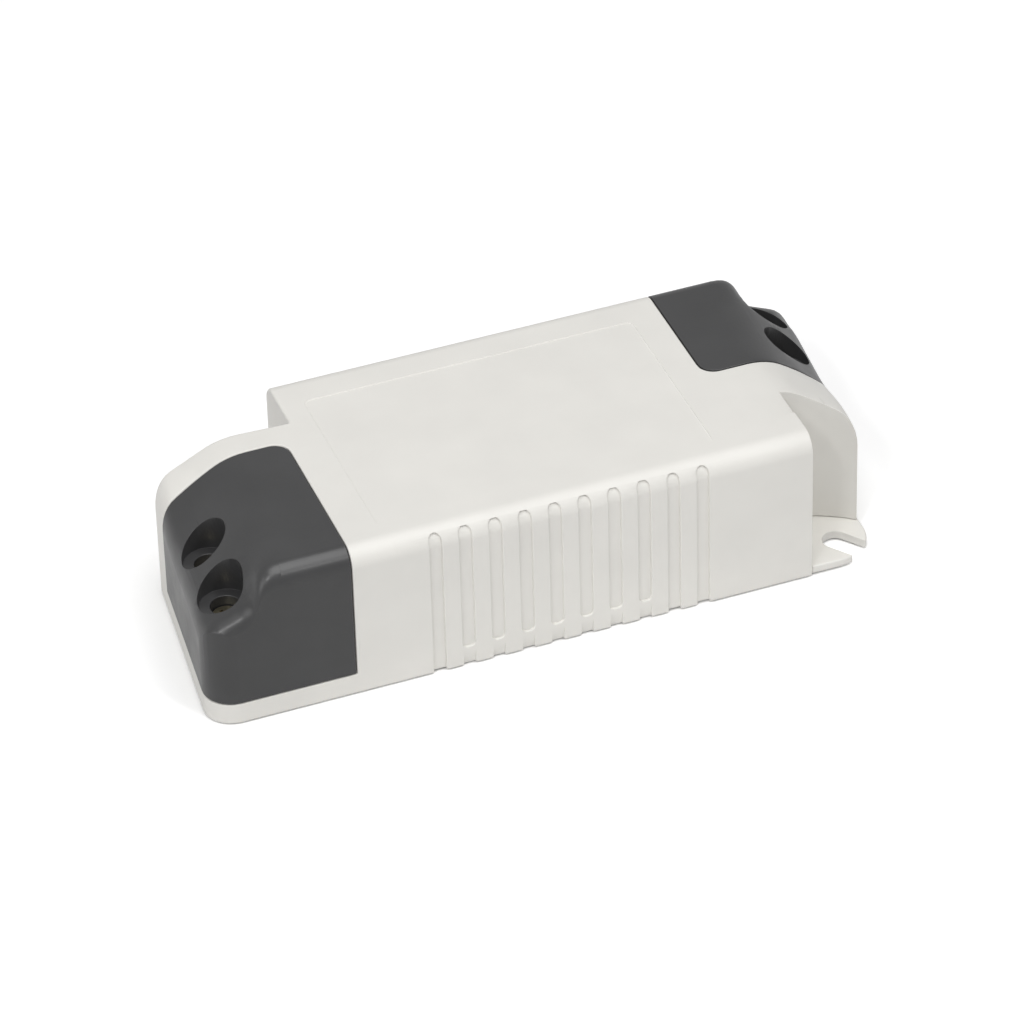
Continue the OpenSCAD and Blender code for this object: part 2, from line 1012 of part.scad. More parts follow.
module ring_plan(length, width, r) {
    polygon(rounded(
        [[-length / 2, -width / 2], [length / 2, -width / 2],
         [length / 2, width / 2], [-length / 2, width / 2]],
        [r, r, r, r], 5));
}

// Transistor screwed to a small upright heatsink by the front wall
module switching_transistor() {
    color(chip_black)
        on_board(sink_x, sink_y + sink_t)
            difference() {
                union() {
                    translate([-4, 0, 2.5])
                        cube([8, 2.7, 11]);
                    for (x = [-2.3, 0, 2.3])
                        translate([x - 0.35, 1, 0])
                            cube([0.7, 0.5, 2.6]);
                }
                translate([0, -over, transistor_screw_z])
                    rotate([-90, 0, 0])
                        cylinder(h = 5, r = 1.5);
            }
}

module transistor_heatsink() {
    color(aluminium)
        on_board(sink_x, sink_y)
            difference() {
                union() {
                    translate([-sink_l / 2, 0, 0])
                        cube([sink_l, sink_t, 14.5]);
                    for (x = [-sink_l / 2, sink_l / 2 - fin_t])
                        translate([x, 0, 0])
                            cube([fin_t, 4, 14.5]);
                }
                translate([0, -over, transistor_screw_z])
                    rotate([-90, 0, 0])
                        cylinder(h = 5, r = 1.5);
            }
}

module transistor_screw() {
    color(brass_steel)
        on_board(sink_x, sink_y + sink_t + 2.7)
            translate([0, 0, transistor_screw_z])
                rotate([-90, 0, 0])
                    pan_screw(2.7, 1.6, 1.5, sink_t + 2.7);
}

// Small chip with a row of flat leads along both long sides
module chip(length, width, height, leads) {
    translate([-length / 2, -width / 2, 0.15])
        cube([length, width, height]);
    for (i = [0 : leads - 1], side = [-1, 1])
        translate([(i - (leads - 1) / 2) * 1.27 - 0.2, side > 0 ? width / 2 - 0.2 : -width / 2 - 1, 0])
            cube([0.4, 1.2, 0.6]);
}

module controller_chip() {
    color(chip_black)
        on_board(stretch, -1.5)
            chip(4.9, 3.9, 1.5, 4);
}

module optocoupler() {
    color(chip_black)
        on_board(14 * stretch, 9)
            rotate([0, 0, 90])
                chip(4.6, 5, 3.4, 2);
}

module output_diode() {
    length = 8.4 * stretch;
    color(chip_black)
        on_board(19.4 * stretch, diode_y) {
            for (side = [-1, 1]) {
                translate([side * (length / 2 + 1.2), 0, 0])
                    cylinder(h = 3, r = 0.5);
                translate([side * (length / 2 - 0.2), 0, 2.6])
                    rotate([0, side * 90, 0])
                        cylinder(h = 1.9, r = 0.5);
            }
            translate([-length / 2, 0, 2.6])
                rotate([0, 90, 0])
                    cylinder(h = length, r = 2.5);
        }
}

// Two upright can capacitors of one size
module output_capacitors() {
    r = 4 * round_stretch;
    height = 12.5;
    color(can_black)
        for (y = [0.4, 1 + 2 * r])
            on_board(25 * stretch, y)
                rotate_extrude()
                    polygon([
                        [0, 0], [r, 0], [r, 1.4], [r - 0.4, 1.8], [r, 2.2],
                        [r, height - 0.6], [r - 0.6, height], [0, height]
                    ]);
}

// Drum of ferrite with its winding between two flanges
module output_inductor() {
    r = 4.1 * round_stretch;
    color(ferrite_grey)
        on_board(24.6 * stretch, inductor_y)
            rotate_extrude()
                polygon([
                    [0, 0], [r, 0], [r, 1.2], [r - 0.7, 1.5], [r - 0.7, 6.5],
                    [r, 6.8], [r, 8], [0, 8]
                ]);
}

housing();
base_plate();
input_cover();
output_cover();
cover_screws();
insulation_sheet();
circuit_board();
board_screws();
input_terminal_block();
input_terminal_screws();
output_terminal_block();
output_terminal_screws();
fuse();
varistor();
choke_core();
choke_windings();
mains_capacitor();
bridge_rectifier();
reservoir_capacitor();
suppression_capacitor();
transformer_core();
transformer_bobbin();
transformer_winding();
switching_transistor();
transistor_heatsink();
transistor_screw();
controller_chip();
optocoupler();
output_diode();
output_capacitors();
output_inductor();
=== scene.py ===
"""Looks of a moulded power converter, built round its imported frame.

The four outer mouldings are dressed copies of the frame's nodes: the same shapes with
their edges rounded, as a mould leaves them. Every other node keeps its own mesh and
gets its finish from the library below.
"""
import json
import logging
import math
from dataclasses import dataclass, field
from enum import Enum
from typing import Callable

import bmesh
import bpy
from mathutils import Matrix, Vector
from mathutils.bvhtree import BVHTree
from mathutils.geometry import intersect_point_line


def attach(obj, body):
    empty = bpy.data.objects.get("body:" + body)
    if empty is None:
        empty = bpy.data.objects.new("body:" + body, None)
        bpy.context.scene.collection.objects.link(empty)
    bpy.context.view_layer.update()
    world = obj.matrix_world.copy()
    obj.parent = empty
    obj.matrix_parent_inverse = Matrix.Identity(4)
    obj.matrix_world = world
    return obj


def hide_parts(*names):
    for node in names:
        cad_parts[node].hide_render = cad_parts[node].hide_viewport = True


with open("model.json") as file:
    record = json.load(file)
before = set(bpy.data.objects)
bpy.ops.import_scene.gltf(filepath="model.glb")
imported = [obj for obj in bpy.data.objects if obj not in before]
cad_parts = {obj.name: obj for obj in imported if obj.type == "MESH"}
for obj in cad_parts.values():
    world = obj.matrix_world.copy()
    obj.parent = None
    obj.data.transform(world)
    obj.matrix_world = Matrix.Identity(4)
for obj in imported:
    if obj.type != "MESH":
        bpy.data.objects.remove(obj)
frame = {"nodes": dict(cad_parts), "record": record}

MM = 0.001
BODY = "root"
log = logging.getLogger("power_converter")

Colour = tuple[float, float, float]


class Kind(Enum):
    """Families of surface: lacquer has a clear coat, metal and wire are metallic."""

    MOULDED = "moulded"
    LACQUERED = "lacquered"
    METAL = "metal"
    SINTERED = "sintered"
    FILM = "film"
    WOUND = "wound"


@dataclass(frozen=True)
class Finish:
    """One surface finish.

    Attributes:
        kind: Family of the surface.
        colour: Base colour, linear.
        roughness: Mean roughness.
        grain_mm: Size of the fine texture.
        grain: Strength of the fine texture.
        drift: How far the colour wanders, as a share of itself.
    """

    kind: Kind
    colour: Colour
    roughness: float
    grain_mm: float = 0.3
    grain: float = 0.1
    drift: float = 0.04


FINISHES: dict[str, Finish] = {
    "case_plastic": Finish(Kind.MOULDED, (0.80, 0.785, 0.745), 0.42, 0.35, 0.05, 0.02),
    "cover_plastic": Finish(Kind.MOULDED, (0.043, 0.043, 0.044), 0.33, 0.35, 0.12, 0.08),
    "plated_steel": Finish(Kind.METAL, (0.42, 0.38, 0.27), 0.35, 0.2, 0.15, 0.25),
    "insulating_film": Finish(Kind.FILM, (0.60, 0.35, 0.08), 0.25),
    "circuit_laminate": Finish(Kind.LACQUERED, (0.02, 0.14, 0.05), 0.3, 0.5, 0.1, 0.1),
    "terminal_plastic": Finish(Kind.MOULDED, (0.06, 0.30, 0.12), 0.45),
    "fuse_plastic": Finish(Kind.MOULDED, (0.12, 0.05, 0.02), 0.3),
    "coated_ceramic": Finish(Kind.LACQUERED, (0.02, 0.08, 0.32), 0.25, 0.8, 0.15, 0.1),
    "ferrite": Finish(Kind.SINTERED, (0.05, 0.05, 0.055), 0.55, 0.2, 0.25, 0.15),
    "copper_wire": Finish(Kind.WOUND, (0.55, 0.20, 0.08), 0.3, 0.6, 0.5, 0.1),
    "film_capacitor": Finish(Kind.MOULDED, (0.65, 0.50, 0.05), 0.4),
    "chip_plastic": Finish(Kind.MOULDED, (0.02, 0.02, 0.02), 0.5, 0.2, 0.15),
    "can_sleeve": Finish(Kind.FILM, (0.015, 0.015, 0.03), 0.25),
    "bobbin_plastic": Finish(Kind.MOULDED, (0.02, 0.02, 0.02), 0.45),
    "winding_tape": Finish(Kind.FILM, (0.65, 0.45, 0.05), 0.3),
    "sink_aluminium": Finish(Kind.METAL, (0.70, 0.71, 0.73), 0.35, 0.15, 0.1, 0.1),
}


def feed(tree: bpy.types.NodeTree, socket: bpy.types.NodeSocket, value: object) -> None:
    """Gives an input a fixed value, or links another node's output to it.

    Args:
        tree: Node tree.
        socket: Input to be set.
        value: The fixed value or the output.
    """
    if isinstance(value, bpy.types.NodeSocket):
        tree.links.new(value, socket)
    else:
        socket.default_value = value


def add_node(tree: bpy.types.NodeTree, kind: str, **inputs: object) -> bpy.types.Node:
    """Adds a node to a tree.

    Args:
        tree: Node tree.
        kind: Blender's name for the node type.
        **inputs: Values or sockets for its inputs, by name, with _ for a blank.

    Returns:
        The new node.
    """
    made = tree.nodes.new(kind)
    for name, value in inputs.items():
        feed(tree, made.inputs[name.replace("_", " ")], value)
    return made


def add_math(tree: bpy.types.NodeTree, operation: str, *values: object) -> bpy.types.NodeSocket:
    """Adds a node that works out a number from others.

    Args:
        tree: Node tree.
        operation: Blender's name for the operation.
        *values: Values or sockets for its inputs, in order.

    Returns:
        The result's socket.
    """
    made = tree.nodes.new("ShaderNodeMath")
    made.operation = operation
    for socket, value in zip(made.inputs, values):
        feed(tree, socket, value)
    return made.outputs[0]


class Material:
    """Builds one node material step by step."""

    # Sockets of the Mix node that hold colours
    MIX_COLOURS = (6, 7)
    MIX_RESULT = 2
    # Sizes of the slow changes of colour and gloss, in mm
    DRIFT_MM = 9.0
    GLOSS_MM = 4.0
    # Octaves of finer noise, and the part of a noise's range that is put to use
    OCTAVES = 3.0
    NOISE_LOW, NOISE_HIGH = 0.3, 0.7
    # How far the gloss wanders, as a share of the roughness
    GLOSS_DRIFT = 0.1
    # Height of the fine texture, as a share of its size
    GRAIN_HEIGHT = 0.2
    LACQUER_COAT = 0.5

    def __init__(self, name: str, finish: Finish) -> None:
        """Starts an empty material.

        Args:
            name: Name of the material.
            finish: What it should look like.
        """
        self.finish = finish
        self.data = bpy.data.materials.new(name)
        self.data.use_nodes = True
        self.tree = self.data.node_tree
        self.shader = self.tree.nodes["Principled BSDF"]
        self.coords = add_node(self.tree, "ShaderNodeTexCoord").outputs["Object"]

    def noise(self, size_mm: float) -> bpy.types.NodeSocket:
        """Adds a noise texture in the object's own space.

        Args:
            size_mm: Size of its features.

        Returns:
            The noise value's socket.
        """
        made = add_node(
            self.tree, "ShaderNodeTexNoise", Vector=self.coords, Scale=1 / (size_mm * MM),
            Detail=self.OCTAVES)
        return made.outputs["Fac"]

    def spread(self, value: bpy.types.NodeSocket, low: float, high: float) -> bpy.types.NodeSocket:
        """Maps the middle of a noise to a range.

        Args:
            value: Noise value.
            low: Result where the noise is low.
            high: Result where it is high.

        Returns:
            The mapped value's socket.
        """
        made = add_node(
            self.tree, "ShaderNodeMapRange", Value=value, From_Min=self.NOISE_LOW,
            From_Max=self.NOISE_HIGH, To_Min=low, To_Max=high)
        return made.outputs["Result"]

    def colour(self) -> None:
        """Gives the base colour a slow drift, as mouldings and coatings have."""
        drift = self.finish.drift
        mix = add_node(self.tree, "ShaderNodeMix")
        mix.data_type = "RGBA"
        feed(self.tree, mix.inputs["Factor"], self.spread(self.noise(self.DRIFT_MM), 0.0, 1.0))
        for socket, share in zip(self.MIX_COLOURS, (1 - drift, 1 + drift)):
            shade = [min(1.0, channel * share) for channel in self.finish.colour]
            feed(self.tree, mix.inputs[socket], (*shade, 1.0))
        feed(self.tree, self.shader.inputs["Base Color"], mix.outputs[self.MIX_RESULT])

    def gloss(self) -> None:
        """Varies the roughness a little from place to place."""
        rough, drift = self.finish.roughness, self.GLOSS_DRIFT
        value = self.spread(self.noise(self.GLOSS_MM), rough * (1 - drift), rough * (1 + drift))
        feed(self.tree, self.shader.inputs["Roughness"], value)

    def texture(self) -> None:
        """Adds the fine texture of the surface as bump: turns of wire, or else noise."""
        grain = self.finish.grain_mm
        if self.finish.kind is Kind.WOUND:
            height = add_node(
                self.tree, "ShaderNodeTexWave", Vector=self.coords,
                Scale=1 / (grain * MM * math.tau)).outputs["Fac"]
        else:
            height = self.noise(grain)
        bump = add_node(
            self.tree, "ShaderNodeBump", Strength=self.finish.grain,
            Distance=grain * MM * self.GRAIN_HEIGHT, Height=height)
        feed(self.tree, self.shader.inputs["Normal"], bump.outputs["Normal"])

    def build(self) -> bpy.types.Material:
        """Puts the whole material together.

        Returns:
            The finished material.
        """
        kind = self.finish.kind
        metallic = 1.0 if kind in (Kind.METAL, Kind.WOUND) else 0.0
        coat = self.LACQUER_COAT if kind is Kind.LACQUERED else 0.0
        feed(self.tree, self.shader.inputs["Metallic"], metallic)
        feed(self.tree, self.shader.inputs["Coat Weight"], coat)
        self.colour()
        self.gloss()
        self.texture()
        return self.data


@dataclass
class MaterialLibrary:
    """Makes each finish once and hands it out by slot name."""

    made: dict[str, bpy.types.Material] = field(default_factory=dict)

    def get(self, slot: str) -> bpy.types.Material:
        """Finds or makes a material.

        Args:
            slot: Material slot in the record.

        Returns:
            Its material.
        """
        if slot not in self.made:
            self.made[slot] = Material(slot, FINISHES[slot]).build()
            log.info("material %s", slot)
        return self.made[slot]

    def put_on(self, piece: bpy.types.Object, slot: str) -> None:
        """Covers a piece with one material.

        Args:
            piece: Object to cover.
            slot: Material slot in the record.
        """
        piece.data.materials.clear()
        piece.data.materials.append(self.get(slot))


EdgeWidth = Callable[[Vector, Vector, Vector], float]
Widths = dict[bmesh.types.BMEdge, float]

# Width that the Bevel modifier is set to, of which every edge gets its share
WIDEST = 0.9 * MM


def nearest_on(point: Vector, start: Vector, stop: Vector) -> Vector:
    """Finds the point of a line segment that lies nearest to a given one.

    Args:
        point: The given point.
        start: One end of the segment.
        stop: Its other end.

    Returns:
        The nearest point of the segment.
    """
    _, share = intersect_point_line(point, start, stop)
    return start.lerp(stop, min(max(share, 0.0), 1.0))


class RoundingPlan:
    """Fits the rounding of every edge to the room that the mesh leaves.

    The Bevel modifier's own limit narrows all edges as far as the most cramped one
    needs, so the plan gives each its own.
    """

    # Share of the room that a rounding may take beside a rounded and a sharp edge
    BESIDE_ROUNDED, BESIDE_SHARP = 0.45, 0.9
    # Widest corner, in radians, whose tangent is still used
    WIDEST_CORNER = 3.1
    # How many widths away another side of a face still matters
    NEARBY = 2.3
    # Least cosine between the way to another side and the way into the face
    AHEAD = 0.5
    # A run of edges goes on where two of them meet at more than this angle
    STRAIGHT_ON = math.radians(145)
    # Part of a run's length that may have less room than the width it gets
    CRAMPED = 0.1

    def __init__(self, widths: Widths) -> None:
        """Starts from the wanted widths.

        Args:
            widths: Width of each rounding, in metres.
        """
        self.widths = dict(widths)
        self.ends = {vert for edge in widths for vert in edge.verts}

    def corner_room(self, corner: bmesh.types.BMLoop, edge: bmesh.types.BMEdge,
                    beside: bmesh.types.BMEdge) -> float:
        """Tells how wide the rounding of an edge may be at one corner of a face.

        Args:
            corner: Corner of the face.
            edge: The edge to be rounded.
            beside: The other edge of that corner.

        Returns:
            The widest rounding that the corner has room for.
        """
        angle = corner.calc_angle()
        if beside not in self.widths:
            far_end = beside.other_vert(corner.vert)
            share = self.BESIDE_ROUNDED if far_end in self.ends else self.BESIDE_SHARP
            return share * beside.calc_length() * math.sin(angle)
        if not corner.is_convex:
            return WIDEST
        shorter = min(edge.calc_length(), beside.calc_length())
        return self.BESIDE_ROUNDED * shorter * math.tan(min(angle, self.WIDEST_CORNER) / 2)

    def across_room(self, loop: bmesh.types.BMLoop, wide: float) -> float:
        """Tells how far a rounding may reach into a face before it meets another side.

        Args:
            loop: The edge's place in the face.
            wide: Rounding that is wanted.

        Returns:
            The wanted rounding, or less where another side is near.
        """
        start, stop = loop.vert.co, loop.link_loop_next.vert.co
        inward = loop.face.normal.cross(stop - start).normalized()
        middle = (start + stop) / 2
        reach = self.NEARBY * wide + (stop - start).length / 2
        for other in loop.face.loops:
            first, last = other.vert.co, other.link_loop_next.vert.co
            centre = (first + last) / 2
            if other is loop or (centre - middle).length > reach + (last - first).length / 2:
                continue
            share = self.BESIDE_ROUNDED if other.edge in self.widths else self.BESIDE_SHARP
            for gap in (nearest_on(middle, first, last) - middle,
                        centre - nearest_on(centre, start, stop)):
                if gap.dot(inward) > self.AHEAD * gap.length:
                    wide = min(wide, share * gap.length)
        return wide

    def keep_to_room(self) -> None:
        """Narrows each rounding to the room that its faces leave."""
        room: Widths = {}
        for edge, wide in self.widths.items():
            for loop in edge.link_loops:
                after = loop.link_loop_next
                wide = min(wide, self.corner_room(loop, edge, loop.link_loop_prev.edge))
                wide = min(wide, self.corner_room(after, edge, after.edge))
                wide = self.across_room(loop, wide)
            room[edge] = max(0.0, wide)
        self.widths = room

    def run_from(self, seed: bmesh.types.BMEdge,
                 left: dict[bmesh.types.BMEdge, None]) -> list[bmesh.types.BMEdge]:
        """Follows an edge both ways as far as it goes on without a sharp turn.

        Args:
            seed: Edge to start from.
            left: Edges not yet in a run; the run's edges are taken out.

        Returns:
            The edges of the run.
        """
        del left[seed]
        run, ahead = [seed], [seed]
        while ahead:
            edge = ahead.pop()
            for vert in edge.verts:
                back = edge.other_vert(vert).co - vert.co
                for other in vert.link_edges:
                    if other not in left:
                        continue
                    if back.angle(other.other_vert(vert).co - vert.co) > self.STRAIGHT_ON:
                        del left[other]
                        run.append(other)
                        ahead.append(other)
        return run

    def even_out(self) -> None:
        """Gives every run of edges one width, so that its rounding doesn't waver."""
        left = dict.fromkeys(self.widths)
        while left:
            run = self.run_from(next(iter(left)), left)
            spare = self.CRAMPED * sum(edge.calc_length() for edge in run)
            wide = 0.0
            for edge in sorted(run, key=self.widths.__getitem__):
                wide = self.widths[edge]
                spare -= edge.calc_length()
                if spare <= 0:
                    break
            for edge in run:
                self.widths[edge] = wide


@dataclass(frozen=True)
class SoftenedMoulding:
    """A dressed copy of one node, with the small radii that a mould leaves on its edges.

    Attributes:
        node: Name of the node it stands for.
        slot: Material slot.
        width: Gives the rounding of an edge, in mm, from its middle and its two face
            normals.
        sharp_deg: Edges that turn by less than this are part of a smooth surface.
        flat_deg: Triangles that turn by less than this make one flat face.
        merged: Corners nearer to each other than this are joined, in mm.
        furthest: How far a rounding may move the surface, in mm.
        inside_share: How much of its rounding an inside corner gets.
        segments: Faces across a rounding.
        shading_weight: How much the larger faces rule the shading, in percent.
    """

    node: str
    slot: str
    width: EdgeWidth
    sharp_deg: float = 32.0
    flat_deg: float = 0.4
    merged: float = 0.05
    furthest: float = 0.17
    inside_share: float = 0.3
    segments: int = 3
    shading_weight: int = 60

    def build(self, library: MaterialLibrary) -> None:
        """Makes the dressed copy.

        Args:
            library: Where its material comes from.
        """
        source = frame["nodes"][self.node]
        mesh = bmesh.new()
        mesh.from_mesh(source.data)
        self.merge_flats(mesh)
        self.weigh_edges(mesh)
        name = f"{self.node}_moulding"
        data = bpy.data.meshes.new(name)
        mesh.to_mesh(data)
        mesh.free()
        piece = bpy.data.objects.new(name, data)
        bpy.context.collection.objects.link(piece)
        self.round_edges(piece, source.data)
        library.put_on(piece, self.slot)
        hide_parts(self.node)
        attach(piece, BODY)
        log.info("piece %s: %d faces", piece.name, len(piece.data.polygons))

    def merge_flats(self, mesh: bmesh.types.BMesh) -> None:
        """Joins the triangles of each flat face into one.

        Args:
            mesh: Mesh to clean.
        """
        bmesh.ops.remove_doubles(mesh, verts=mesh.verts, dist=self.merged * MM)
        bmesh.ops.dissolve_limit(
            mesh, angle_limit=math.radians(self.flat_deg), verts=mesh.verts, edges=mesh.edges,
            use_dissolve_boundaries=False)

    def weigh_edges(self, mesh: bmesh.types.BMesh) -> None:
        """Marks the edges to be rounded, each with its share of the widest rounding.

        Args:
            mesh: Mesh to mark.
        """
        weights = mesh.edges.layers.float.new("bevel_weight_edge")
        for face in mesh.faces:
            face.smooth = True
        plan = RoundingPlan(self.wanted_widths(mesh))
        plan.keep_to_room()
        plan.even_out()
        for edge, wide in plan.widths.items():
            edge[weights] = max(0.0, min(1.0, wide / WIDEST))

    def wanted_widths(self, mesh: bmesh.types.BMesh) -> Widths:
        """Finds the edges to be rounded and the rounding that each should have.

        Args:
            mesh: Mesh to look through.

        Returns:
            The width of each rounding, in metres.
        """
        limit = math.radians(self.sharp_deg)
        widths: Widths = {}
        for edge in mesh.edges:
            if len(edge.link_faces) != 2 or edge.calc_face_angle(0.0) < limit:
                continue
            middle = (edge.verts[0].co + edge.verts[1].co) / 2
            first, second = (face.normal for face in edge.link_faces)
            wide = self.width(middle / MM, first, second) * MM
            if not edge.is_convex:
                wide *= self.inside_share
            if wide > 0:
                widths[edge] = wide
        return widths

    def round_edges(self, piece: bpy.types.Object, source: bpy.types.Mesh) -> None:
        """Rounds the marked edges and evens out the shading.

        Args:
            piece: Object to shape.
            source: Mesh of the node that it stands for.
        """
        bevel = piece.modifiers.new("rounding", "BEVEL")
        bevel.limit_method = "WEIGHT"
        bevel.width = WIDEST
        bevel.segments = self.segments
        bevel.miter_outer = "MITER_ARC"
        bevel.use_clamp_overlap = False
        bpy.context.view_layer.update()
        rounded = piece.evaluated_get(bpy.context.evaluated_depsgraph_get())
        marked = piece.data
        piece.data = bpy.data.meshes.new_from_object(rounded)
        piece.data.name = marked.name
        piece.modifiers.clear()
        bpy.data.meshes.remove(marked)
        self.draw_back(piece.data, source)
        shade = piece.modifiers.new("shading", "WEIGHTED_NORMAL")
        shade.weight = self.shading_weight
        shade.keep_sharp = True

    def draw_back(self, data: bpy.types.Mesh, source: bpy.types.Mesh) -> None:
        """Puts any vertex that the rounding threw too far back on the node's surface.

        Args:
            data: Mesh of the rounded piece.
            source: Mesh of the node that it stands for.
        """
        points = [vert.co for vert in source.vertices]
        surface = BVHTree.FromPolygons(points, [face.vertices[:] for face in source.polygons])
        low = [min(point[axis] for point in points) for axis in range(3)]
        high = [max(point[axis] for point in points) for axis in range(3)]
        for vert in data.vertices:
            nearest, _, _, away = surface.find_nearest(vert.co)
            if away > self.furthest * MM:
                vert.co = nearest
            vert.co = [min(max(vert.co[axis], low[axis]), high[axis]) for axis in range(3)]
        data.update()


@dataclass(frozen=True)
class Zone:
    """A box-shaped part of the object, open on the sides that aren't given.

    Attributes:
        x: Its reach along the case, in mm.
        y: Its reach across the case, in mm.
        z: Its reach upward, in mm.
    """

    x: tuple[float, float] = (-math.inf, math.inf)
    y: tuple[float, float] = (-math.inf, math.inf)
    z: tuple[float, float] = (-math.inf, math.inf)

    def holds(self, point: Vector) -> bool:
        """Tells whether a point lies in the zone.

        Args:
            point: The point, in mm.

        Returns:
            True if it does.
        """
        reaches = (self.x, self.y, self.z)
        return all(low < place < high for place, (low, high) in zip(point, reaches))


NOTCHES = (
    Zone(x=(39, math.inf), y=(-math.inf, -1.6), z=(2, math.inf)),
    Zone(x=(-math.inf, -28.5), y=(7.2, math.inf), z=(2, math.inf)),
)
EARS = (
    Zone(x=(39.5, math.inf), y=(-math.inf, -10), z=(-math.inf, 1.5)),
    Zone(x=(-math.inf, -36), y=(10, math.inf), z=(-math.inf, 1.5)),
)
WELLS = (
    Zone(x=(43, math.inf), z=(16.5, math.inf)),
    Zone(x=(-math.inf, -43), z=(16.5, math.inf)),
)
FOOT = Zone(z=(-math.inf, 0.2))

# Upward part of a face's normal: more than the first looks up, less than the second
# makes a wall
FACES_UP, UPRIGHT = 0.5, 0.3

# Widths of the roundings, in mm
NOTCH_RIM = 0.7
FOOT_EDGE = 0.4
CASE_EDGE = 0.25
EAR_EDGE = 0.35
WELL_MOUTH = 0.22
COVER_EDGE = 0.12


def is_in(zones: tuple[Zone, ...], point: Vector) -> bool:
    """Tells whether a point lies in one of several zones.

    Args:
        zones: The zones.
        point: The point, in mm.

    Returns:
        True if it does.
    """
    return any(zone.holds(point) for zone in zones)


def case_rounding(middle: Vector, first: Vector, second: Vector) -> float:
    """Gives the rounding of an edge of the case, widest round the notches.

    Args:
        middle: Middle of the edge, in mm.
        first: Normal of the face on one side.
        second: Normal of the face on the other side.

    Returns:
        Width of the rounding, in mm.
    """
    tops = (first.z > FACES_UP) != (second.z > FACES_UP)
    walls = abs(first.z) < UPRIGHT and abs(second.z) < UPRIGHT
    if is_in(NOTCHES, middle) and (tops or walls):
        return NOTCH_RIM
    return FOOT_EDGE if FOOT.holds(middle) else CASE_EDGE


def base_rounding(middle: Vector, _first: Vector, _second: Vector) -> float:
    """Gives the rounding of an edge of the base: only the ears show.

    Args:
        middle: Middle of the edge, in mm.
        _first: Normal of the face on one side, not needed here.
        _second: Normal of the face on the other side, not needed here.

    Returns:
        Width of the rounding, in mm.
    """
    return EAR_EDGE if is_in(EARS, middle) else 0.0


def cover_rounding(middle: Vector, _first: Vector, _second: Vector) -> float:
    """Gives the rounding of an edge of a cover, wider on the mouths of the wells.

    Args:
        middle: Middle of the edge, in mm.
        _first: Normal of the face on one side, not needed here.
        _second: Normal of the face on the other side, not needed here.

    Returns:
        Width of the rounding, in mm.
    """
    return WELL_MOUTH if is_in(WELLS, middle) else COVER_EDGE


@dataclass(frozen=True)
class Converter:
    """The whole converter.

    Attributes:
        library: Where the materials come from.
        mouldings: The outer pieces, which replace their nodes.
    """

    library: MaterialLibrary
    mouldings: tuple[SoftenedMoulding, ...] = (
        SoftenedMoulding("housing", "case_plastic", case_rounding, merged=0.002, furthest=0.6),
        SoftenedMoulding("base_plate", "case_plastic", base_rounding, furthest=0.3),
        SoftenedMoulding("input_cover", "cover_plastic", cover_rounding),
        SoftenedMoulding("output_cover", "cover_plastic", cover_rounding),
    )

    def build(self) -> None:
        """Makes the outer pieces and finishes the nodes that keep their own mesh."""
        for moulding in self.mouldings:
            moulding.build(self.library)
        replaced = {moulding.node for moulding in self.mouldings}
        for part in frame["record"]["subparts"]:
            name = part["node"]
            if name not in replaced:
                self.library.put_on(frame["nodes"][name], part["material_slot"])
                log.info("node %s", name)


def direction(azimuth: float, elevation: float) -> Vector:
    """Gives the way from the object to a camera or light.

    Args:
        azimuth: Angle round the object, in degrees, 0 in front of it.
        elevation: Angle above the horizon, in degrees.

    Returns:
        That way, one metre long.
    """
    around, above = math.radians(azimuth), math.radians(elevation)
    return Vector((
        math.sin(around) * math.cos(above),
        -math.cos(around) * math.cos(above),
        math.sin(above)))


@dataclass(frozen=True)
class PhotoCamera:
    """Camera at the photo's angle.

    Attributes:
        azimuth: Angle round the object, in degrees, 0 in front of it.
        elevation: Angle above the horizon, in degrees.
        roll: Turn about the line of sight, in degrees.
        distance_mm: Distance from the origin along the line of sight.
        across_mm: How far the origin stands right of the picture's middle.
        above_mm: How far it stands above the middle.
        focal_px: Focal length in pixels.
        frame_px: Width of the frame in pixels.
        sensor_mm: Width of the sensor.
        clip_m: Nearest and farthest distance that the camera sees, in metres.
    """

    azimuth: float = -19.85
    elevation: float = 37.54
    roll: float = -1.71
    distance_mm: float = 910.54
    across_mm: float = -0.84
    above_mm: float = -6.43
    focal_px: float = 6000.0
    frame_px: float = 1024.0
    sensor_mm: float = 36.0
    clip_m: tuple[float, float] = (0.05, 20.0)

    def build(self) -> None:
        """Makes the scene's camera."""
        roll = math.radians(self.roll)
        back = direction(self.azimuth, self.elevation)
        level = Vector((0, 0, 1)).cross(back).normalized()
        upright = back.cross(level)
        right = math.cos(roll) * level + math.sin(roll) * upright
        up = -math.sin(roll) * level + math.cos(roll) * upright
        place = (-self.across_mm * right - self.above_mm * up + self.distance_mm * back) * MM
        data = bpy.data.cameras.new("photo_camera")
        data.sensor_width = self.sensor_mm
        data.lens = self.focal_px / self.frame_px * self.sensor_mm
        data.clip_start, data.clip_end = self.clip_m
        camera = bpy.data.objects.new("photo_camera", data)
        camera.matrix_world = Matrix((
            (right.x, up.x, back.x, place.x),
            (right.y, up.y, back.y, place.y),
            (right.z, up.z, back.z, place.z),
            (0, 0, 0, 1)))
        bpy.context.collection.objects.link(camera)
        bpy.context.scene.camera = camera
        log.info("camera lens %.1f mm", data.lens)


